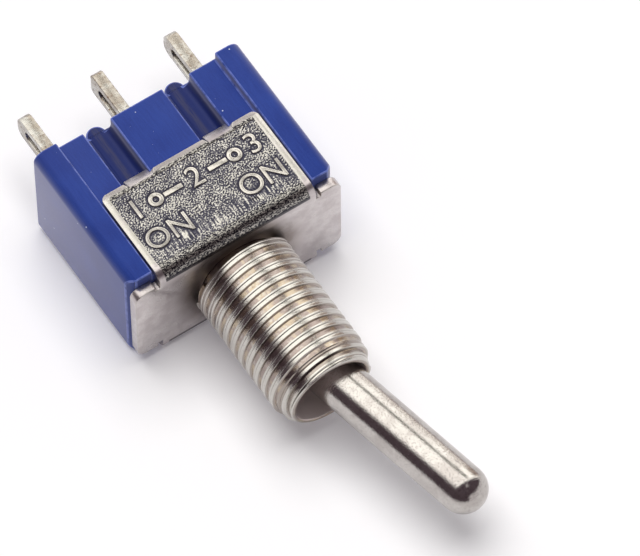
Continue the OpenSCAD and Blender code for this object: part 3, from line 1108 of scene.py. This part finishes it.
        def loop(points: Sequence[tuple[float, float]]) -> None:
            """Adds one closed outline.

            Args:
                points: its corners, in millimetres.
            """
            spline = curve.splines.new("POLY")
            spline.points.add(len(points) - 1)
            for point, (x, y) in zip(spline.points, points):
                point.co = (x * MM, y * MM, 0.0, 1.0)
            spline.use_cyclic_u = True

        turns = np.linspace(0, 2 * math.pi, 28, endpoint=False)
        for radius in self.contact_ring_r:
            middle = turn * self.contact_ring_x
            loop([(middle + radius * math.cos(a), radius * math.sin(a)) for a in turns])
        near, far = (turn * end for end in self.contact_bar)
        half = self.contact_bar_half
        loop([(near, -half), (far, -half), (far, half), (near, half)])
        return curve

    def _raise(self, curve: bpy.types.Curve, name: str, side: int, x: float, y: float) -> np.ndarray:
        """Turns a flat sign into a raised piece on a flange.

        Args:
            curve: the sign's text or outline.
            name: the piece's name.
            side: 1 for the upper flange and -1 for the lower.
            x: its middle across the flange.
            y: its middle behind the plate.

        Returns:
            Points on its outline, as rows of (x, y) in millimetres.
        """
        curve.extrude = self.sign_thick * MM
        curve.bevel_depth = self.sign_round * MM
        curve.bevel_resolution = 1
        curve.offset = -0.7 * self.sign_round * MM
        flat = new_object(name, curve)
        turn = Matrix.Identity(4) if side > 0 else Matrix.Rotation(math.pi, 4, "Y")
        height = side * (self.outer_z - self.sign_sink - self.sign_round)
        flat.matrix_world = Matrix.Translation(Vector((x, y, height)) * MM) @ turn
        bpy.context.view_layer.update()
        graph = bpy.context.evaluated_depsgraph_get()
        mesh = bpy.data.meshes.new_from_object(flat.evaluated_get(graph), depsgraph=graph)
        mesh.transform(flat.matrix_world)
        bpy.data.objects.remove(flat)
        weld(mesh)
        piece = new_object(name, mesh)
        shade_smooth(piece, 40.0)
        finish_piece(piece, self.legend_finish, Body.HOUSING)
        points = []
        for edge in mesh.edges:
            if self._on_rim(mesh, edge):
                start, end = (mesh.vertices[v].co.xy / MM for v in edge.vertices)
                steps = 2 + int((end - start).length / 0.05)
                points += [start.lerp(end, t) for t in np.linspace(0, 1, steps)]
        return np.array(points)

    @staticmethod
    def _on_rim(mesh: bpy.types.Mesh, edge: bpy.types.MeshEdge) -> bool:
        """Whether an edge lies along the outline of a raised sign.

        Args:
            mesh: the sign's mesh.
            edge: one of its edges.

        Returns:
            True on a steep side, where the edge runs level.
        """
        start, end = (mesh.vertices[v] for v in edge.vertices)
        steep = abs(start.normal.z) < 0.75 and abs(end.normal.z) < 0.75
        return steep and abs(start.co.z - end.co.z) < 1e-6


@dataclass
class ThreadedBushing:
    """The bushing, with a right-handed thread that thins out in its turned-down end.

    Places run from the plate's outer face to the mouth. taper_depth is the share of the thread's
    depth that the turned-down end keeps, and mouth_lip holds (radius, depth behind the mouth).
    """

    rim_y: float = 1.0
    rim_r: float = 2.6
    plate_t: float = 0.6
    neck_r: float = 2.45
    thread_start: float = 0.3
    thread_end: float = 8.9
    length: float = 9.0
    taper_l: float = 1.2
    taper_depth: float = 0.6
    crest_r: float = 3.0
    root_r: float = 2.86
    seam_r: float = 2.955
    end_r: float = 2.5
    pitch: float = 0.75
    thin_lip: float = 0.10
    seam: float = 0.06
    wide_lip: float = 0.20
    flank: float = 0.06
    corner: float = 0.014
    bore_r: float = 2.15
    seat_r: float = 1.8
    ball_seat_r: float = 2.1
    pivot: float = 5.5
    mouth_r: float = 2.25
    mouth_l: float = 0.08
    mouth_lip: tuple[tuple[float, float], ...] = (
        (2.475, 0.045),
        (2.43, 0.01),
        (2.37, 0.0),
        (2.31, 0.02),
    )
    throat_r: float = 2.06
    throat_l: float = 1.2
    rim_edge: float = 0.05
    columns: int = 144
    finish: ThreadNickel = ThreadNickel(
        "thread_nickel",
        colour=(0.50, 0.465, 0.42),
        dull=(0.38, 0.34, 0.31),
        roughness=0.13,
        grain_per_mm=16.0,
        grain_depth=0.008,
    )

    def _turn(self) -> list[tuple[float, float, float]]:
        """One turn of the rolled thread, whose crest keeps the seam between its two lips.

        Returns:
            (place along the pitch, radius, place of the middle of its lips or root), with every
            corner of the profile rounded.
        """
        top, low = self.crest_r, self.root_r
        fold = self.thin_lip + self.seam / 2
        wide = fold + self.seam / 2
        edge = wide + self.wide_lip
        foot = edge + self.flank
        lips, root = edge / 2, (foot + self.pitch - self.flank) / 2
        corners = [
            (0.0, top, lips),
            (self.thin_lip, top, lips),
            (fold, self.seam_r, lips),
            (wide, top, lips),
            (edge, top, lips),
            (foot, low, root),
            (self.pitch - self.flank, low, root),
            (self.pitch, top, lips + self.pitch),
            (self.pitch + self.thin_lip, top, lips + self.pitch),
        ]
        made = []
        for before, here, after in zip(corners, corners[1:], corners[2:]):
            start, bend, end = (Vector(point[:2]) for point in (before, here, after))
            near = bend + (start - bend).normalized() * self.corner
            far = bend + (end - bend).normalized() * self.corner
            for t in (0.0, 0.5, 1.0):
                point = near.lerp(bend, t).lerp(bend.lerp(far, t), t)
                made.append((point.x, point.y, here[2]))
        return made

    def _outer_rows(self, angles: np.ndarray) -> list[np.ndarray]:
        """Rows that follow the helix, clamped to the thread's two ends.

        Args:
            angles: the columns' angles, the last being a full turn.

        Returns:
            Rows of (radius, place) pairs.
        """
        turns = int(math.ceil((self.thread_end - self.thread_start) / self.pitch)) + 1
        advance = self.pitch * angles / (2 * math.pi) - self.pitch
        slope = (self.crest_r - self.end_r) / self.taper_l
        end_limit = self.crest_r - slope * (self.thread_end - self.length + self.taper_l)
        rows = []
        for turn, (step, height, middle) in itertools.product(range(turns), self._turn()):
            start = self.thread_start + turn * self.pitch + advance
            place, ring = start + step, start + middle
            limit = self.crest_r - slope * np.maximum(0, ring - self.length + self.taper_l)
            radius = np.minimum(height, limit - (self.crest_r - height) * self.taper_depth)
            radius = np.where(place <= self.thread_start, self.neck_r, radius)
            radius = np.where(place >= self.thread_end, end_limit, radius)
            place = np.clip(place, self.thread_start, self.thread_end)
            rows.append(np.stack([radius, place], axis=-1))
        return rows

    @staticmethod
    def _plain_rows(count: int, profile: Sequence[tuple[float, float]]) -> list[np.ndarray]:
        """Rows of plain rings, of count points each, from a profile of (radius, place)."""
        return [np.tile(np.array(point, float), (count, 1)) for point in profile]

    def build(self) -> None:
        """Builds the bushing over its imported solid."""
        angles = np.linspace(0, 2 * math.pi, self.columns + 1)
        back = [
            (self.bore_r, -self.rim_y),
            (self.rim_r - self.rim_edge, -self.rim_y),
            (self.rim_r, -self.rim_y + self.rim_edge),
            (self.rim_r, -self.plate_t),
            (self.neck_r, -self.plate_t),
        ]
        seat = [
            (math.sqrt(self.ball_seat_r**2 - offset**2), self.pivot + offset)
            for offset in np.linspace(math.sqrt(self.ball_seat_r**2 - self.seat_r**2), 0, 9)
        ]
        mouth = [(radius, self.length - depth) for radius, depth in self.mouth_lip]
        mouth.append((self.mouth_r, self.length - self.mouth_l))
        mouth.append((self.throat_r, self.length - self.throat_l))
        front = mouth + seat + [(self.bore_r, self.pivot)]
        grid = np.stack(
            self._plain_rows(len(angles), back)
            + self._outer_rows(angles)
            + self._plain_rows(len(angles), front)
        )
        radius, place = grid[..., 0], grid[..., 1]
        points = np.stack([radius * np.cos(angles), -place, radius * np.sin(angles)], axis=-1)
        mesh = mesh_from_grid("threaded_bushing", points, tube=True)
        piece = new_object("threaded_bushing", mesh)
        shade_smooth(piece, 24.0)
        finish_piece(piece, self.finish, Body.HOUSING, ["bushing"])


@dataclass
class ToggleLever:
    """The lever: a hollow stem, a ball, and a round rod with a domed tip."""

    pivot: float = -5.5
    lean_deg: float = 12.0
    rod_r: float = 1.375
    length: float = 13.9
    ball_r: float = 2.05
    stem_r: float = 0.95
    stem_l: float = 5.4
    hole_r: float = 0.63
    hole_end: float = 0.9
    stem_edge: float = 0.04
    dome_lip: float = 0.006
    columns: int = 128
    finish: TumbledNickel = TumbledNickel(
        "lever_nickel",
        colour=(0.515, 0.49, 0.465),
        dull=(0.43, 0.40, 0.38),
        roughness=0.065,
        grain_per_mm=12.0,
        grain_depth=0.009,
    )

    def _profile(self) -> list[tuple[float, float]]:
        """Returns:
            (radius, distance from the pivot) from the hole's end, back round the stem, to the tip.
        """
        hole = [(0.0, -self.hole_end), (self.hole_r, -self.hole_end), (self.hole_r, -self.stem_l)]
        stem = [
            (self.stem_r - self.stem_edge, -self.stem_l),
            (self.stem_r, -self.stem_l + self.stem_edge),
        ]
        start = -math.sqrt(self.ball_r**2 - self.stem_r**2)
        end = math.sqrt(self.ball_r**2 - self.rod_r**2)
        ball = [(math.sqrt(self.ball_r**2 - s**2), s) for s in np.linspace(start, end, 40)]
        dome_start = self.length - self.rod_r
        rod = [(self.rod_r, s) for s in np.linspace(end + 0.05, dome_start - 0.02, 24)]
        dome_r = self.rod_r - self.dome_lip
        dome = [
            (dome_r * math.cos(a), dome_start + self.rod_r * math.sin(a))
            for a in np.linspace(0.02, math.pi / 2, 28)
        ]
        dome[-1] = (0.0, self.length)
        return hole + stem + ball + rod + dome

    def build(self) -> None:
        """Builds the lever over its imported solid, leaning as it rests."""
        angles = np.linspace(0, 2 * math.pi, self.columns + 1)
        profile = np.array(self._profile())
        radius, reach = profile[:, 0][:, None], profile[:, 1][:, None]
        lean = math.radians(self.lean_deg)
        along = np.array([math.sin(lean), -math.cos(lean), 0.0])
        aside = np.array([math.cos(lean), math.sin(lean), 0.0])
        up = np.array([0.0, 0.0, 1.0])
        points = (
            np.array([0.0, self.pivot, 0.0])
            + reach[..., None] * along
            + (radius * np.cos(angles))[..., None] * aside
            + (radius * np.sin(angles))[..., None] * up
        )
        mesh = mesh_from_grid("toggle_lever", points)
        piece = new_object("toggle_lever", mesh)
        shade_smooth(piece, 30.0)
        finish_piece(piece, self.finish, Body.LEVER, ["lever"])


@dataclass
class SolderLugs:
    """The three terminals, whose slotted lugs stand behind the case."""

    finish: TinnedBrass = TinnedBrass(
        "tinned_brass",
        colour=(0.50, 0.485, 0.45),
        dull=(0.35, 0.31, 0.265),
        roughness=0.26,
        grain_per_mm=10.0,
        grain_depth=0.012,
    )

    def build(self) -> None:
        """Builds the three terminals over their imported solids."""
        for place in ("left", "centre", "right"):
            solid = SoftenedSolid(f"terminal_{place}", f"lug_{place}", edge_break=0.05)
            piece = solid.build()
            solid.soften(piece)
            finish_piece(piece, self.finish, Body.HOUSING, [f"terminal_{place}"])


@dataclass
class InnerWorks:
    """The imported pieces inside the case, which keep their shape and get a finish."""

    steel: Nickel = Nickel("pin_steel", colour=(0.56, 0.56, 0.57), roughness=0.3)
    nylon: Nylon = Nylon("plunger_nylon")
    wire: Nickel = Nickel("spring_steel", colour=(0.5, 0.5, 0.52), roughness=0.35)
    copper: Nickel = Nickel("rocker_copper", colour=(0.85, 0.48, 0.30), dull=(0.5, 0.25, 0.14))
    silver: Nickel = Nickel("contact_silver", colour=(0.93, 0.92, 0.89))

    def _finishes(self) -> dict[str, Finish]:
        """Returns:
            Each inner node with its finish.
        """
        made = {
            "pivot_pin": self.steel,
            "plunger": self.nylon,
            "plunger_spring": self.wire,
            "rocker": self.copper,
        }
        for kind in ("fixed", "moving"):
            for side in ("left", "right"):
                made[f"{kind}_contact_{side}"] = self.silver
        return made

    def dress(self) -> None:
        """Gives each inner node its finish."""
        for node, finish in self._finishes().items():
            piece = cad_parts[node]
            made = finish.material()
            for slot in piece.material_slots:
                slot.material = made
            log.info("%s: %s", node, finish.name)


# --------------------------------------------------------------------- studio


@dataclass
class Studio:
    """The pale floor, one soft lamp, the cloths that metal reflects, and the camera."""

    floor_z: float = -3.95
    floor_half: float = 2000.0
    azimuth_deg: float = -32.94
    elevation_deg: float = 60.89
    roll_deg: float = 0.63
    distance: float = 410.23
    aim: Point = (3.343, -2.831, 0.0)
    lens: float = 427.14
    sensor: float = 36.0
    nearest: float = 10.0
    farthest: float = 10000.0
    paper: Colour = (0.93, 0.92, 0.915)
    paper_lift: Colour = (0.11, 0.10, 0.115)
    dome_r: float = 700.0
    white: Colour = (0.90, 0.87, 0.88)
    sheet: Colour = (2.0, 1.97, 1.88)
    gap: Colour = (0.10, 0.10, 0.08)
    night: Colour = (0.115, 0.086, 0.100)
    brown: Colour = (0.55, 0.44, 0.38)
    horizon: Colour = (0.46, 0.38, 0.36)
    lamp_toward: Point = (0.02, 0.22, 0.975)
    lamp_distance: float = 1000.0
    lamp_size: float = 850.0
    lamp_watts: float = 9.1
    fill: float = 0.27

    def build(self) -> None:
        """Builds the whole studio."""
        self._camera()
        self._floor()
        self._world()
        self._dome()
        self._lamp()

    def _toward_camera(self) -> Vector:
        """Returns:
            The direction from the part to the camera.
        """
        azimuth, elevation = math.radians(self.azimuth_deg), math.radians(self.elevation_deg)
        return Vector(
            (
                math.sin(azimuth) * math.cos(elevation),
                -math.cos(azimuth) * math.cos(elevation),
                math.sin(elevation),
            )
        )

    def _camera(self) -> None:
        """Places the camera with its roll."""
        lens = bpy.data.cameras.new("camera")
        lens.lens = self.lens
        lens.sensor_width = self.sensor
        lens.clip_start = self.nearest * MM
        lens.clip_end = self.farthest * MM
        camera = bpy.data.objects.new("camera", lens)
        bpy.context.scene.collection.objects.link(camera)
        toward = self._toward_camera()
        camera.location = (Vector(self.aim) + toward * self.distance) * MM
        turn = (-toward).to_track_quat("-Z", "Y").to_matrix()
        roll = Matrix.Rotation(math.radians(-self.roll_deg), 3, "Z")
        camera.rotation_euler = (turn @ roll).to_euler()
        bpy.context.scene.camera = camera

    def _floor(self) -> None:
        """Lays the floor, whose shadows keep a little lavender."""
        mesh = bpy.data.meshes.new("floor")
        half, z = self.floor_half * MM, self.floor_z * MM
        corners = [(-half, -half, z), (half, -half, z), (half, half, z), (-half, half, z)]
        mesh.from_pydata(corners, [], [(0, 1, 2, 3)])
        floor = new_object("floor", mesh)
        made = bpy.data.materials.new("floor_paper")
        made.use_nodes = True
        g = Graph(made.node_tree)
        paper = g.node("ShaderNodeBsdfDiffuse", inputs={"Color": self.paper})
        lift = g.node("ShaderNodeEmission", inputs={"Color": self.paper_lift, "Strength": 1.0})
        both = g.node("ShaderNodeAddShader", inputs={0: paper, 1: lift})
        g.node("ShaderNodeOutputMaterial", inputs={"Surface": both}, output=None)
        floor.data.materials.append(made)

    def _world(self) -> None:
        """Lights the part evenly, and shows white to the camera and in metal."""
        world = bpy.data.worlds.new("studio")
        bpy.context.scene.world = world
        world.use_nodes = True
        g = Graph(world.node_tree)
        path = g.node("ShaderNodeLightPath", output="Is Camera Ray")
        outputs = path.socket.node.outputs
        seen = path + Sock(g, outputs["Is Glossy Ray"]) + Sock(g, outputs["Is Transmission Ray"])
        lit, white = (
            g.node("ShaderNodeBackground", inputs={"Color": (1.0, 1.0, 1.0), "Strength": strength})
            for strength in (self.fill, 1.0)
        )
        shown = g.node("ShaderNodeMixShader", inputs={0: seen.rises(0.0, 1.0), 1: lit, 2: white})
        g.node("ShaderNodeOutputWorld", inputs={"Surface": shown}, output=None)

    def _dome(self) -> None:
        """Hangs a painted dome of white and dark cloths, which only reflections show."""
        mesh = bpy.data.meshes.new("cloth_dome")
        work = bmesh.new()
        bmesh.ops.create_uvsphere(work, u_segments=64, v_segments=32, radius=self.dome_r * MM)
        low = [v for v in work.verts if v.co.z < self.floor_z * MM]
        bmesh.ops.delete(work, geom=low, context="VERTS")
        work.to_mesh(mesh)
        work.free()
        dome = new_object("cloth_dome", mesh)
        made = bpy.data.materials.new("dome_cloth")
        made.use_nodes = True
        g = Graph(made.node_tree)
        cloth = g.node("ShaderNodeEmission", inputs={"Color": self._cloth(g), "Strength": 1.0})
        g.node("ShaderNodeOutputMaterial", inputs={"Surface": cloth}, output=None)
        dome.data.materials.append(made)
        dome.visible_camera = False
        dome.visible_diffuse = False
        dome.visible_shadow = False
        dome.visible_transmission = False

    def _cloth(self, g: Graph) -> Sock:
        """The dome's colour by direction.

        Args:
            g: the dome's graph.

        Returns:
            Its colour: bright sheets behind, parted by a dark gap, a dark side in front, white near
            the floor, and a small bright glint, a brown corner and a dim horizon.
        """
        x, y, z = (part / self.dome_r for part in g.axes(g.place()))
        across = (x * 0.978 + y * 0.208) / (z + 0.001)
        back = across.rises(-1.15, -0.50) * y.rises(-0.10, 0.04)
        gap = across.within(0.44, 0.62, 0.04) * y.rises(0.05, 0.16)
        low = z + y * 0.25 + x.rises(-0.05, -0.35)
        dark = (1 - back) * low.rises(0.13, 0.23)
        glint = x.within(0.10, 0.16, 0.02) * y.within(-0.42, -0.28, 0.03)
        corner = z.rises(0.56, 0.42) * x.rises(0.30, 0.45)
        corner = corner * (y - x * 0.105).rises(0.40, 0.37) * y.rises(0.0, 0.2)
        right = z.rises(0.14, 0.08) * x.rises(-0.2, 0.2) * y.rises(-0.1, 0.1)
        colour = back.between(self.white, self.sheet)
        colour = gap.between(colour, self.gap)
        colour = corner.between(colour, self.brown)
        colour = right.between(colour, self.horizon)
        return glint.between(dark.between(colour, self.night), self.sheet)

    def _lamp(self) -> None:
        """Hangs one large soft lamp nearly overhead, whose reflection the dome's sheets stand for."""
        light = bpy.data.lights.new("softbox", "AREA")
        light.shape = "SQUARE"
        light.size = self.lamp_size * MM
        light.energy = self.lamp_watts
        lamp = bpy.data.objects.new("softbox", light)
        bpy.context.scene.collection.objects.link(lamp)
        direction = Vector(self.lamp_toward).normalized()
        lamp.location = direction * self.lamp_distance * MM
        lamp.rotation_euler = (-direction).to_track_quat("-Z", "Y").to_euler()
        lamp.visible_glossy = False


def main() -> None:
    """Builds the studio and the switch, from the case out to the lever."""
    logging.basicConfig(level=logging.INFO, format="%(name)s: %(message)s")
    bpy.context.scene.view_settings.view_transform = "Standard"
    Studio().build()
    MouldedCase().build()
    StampedFrame().build()
    ThreadedBushing().build()
    ToggleLever().build()
    SolderLugs().build()
    InnerWorks().dress()


if __name__ == "__main__":
    main()
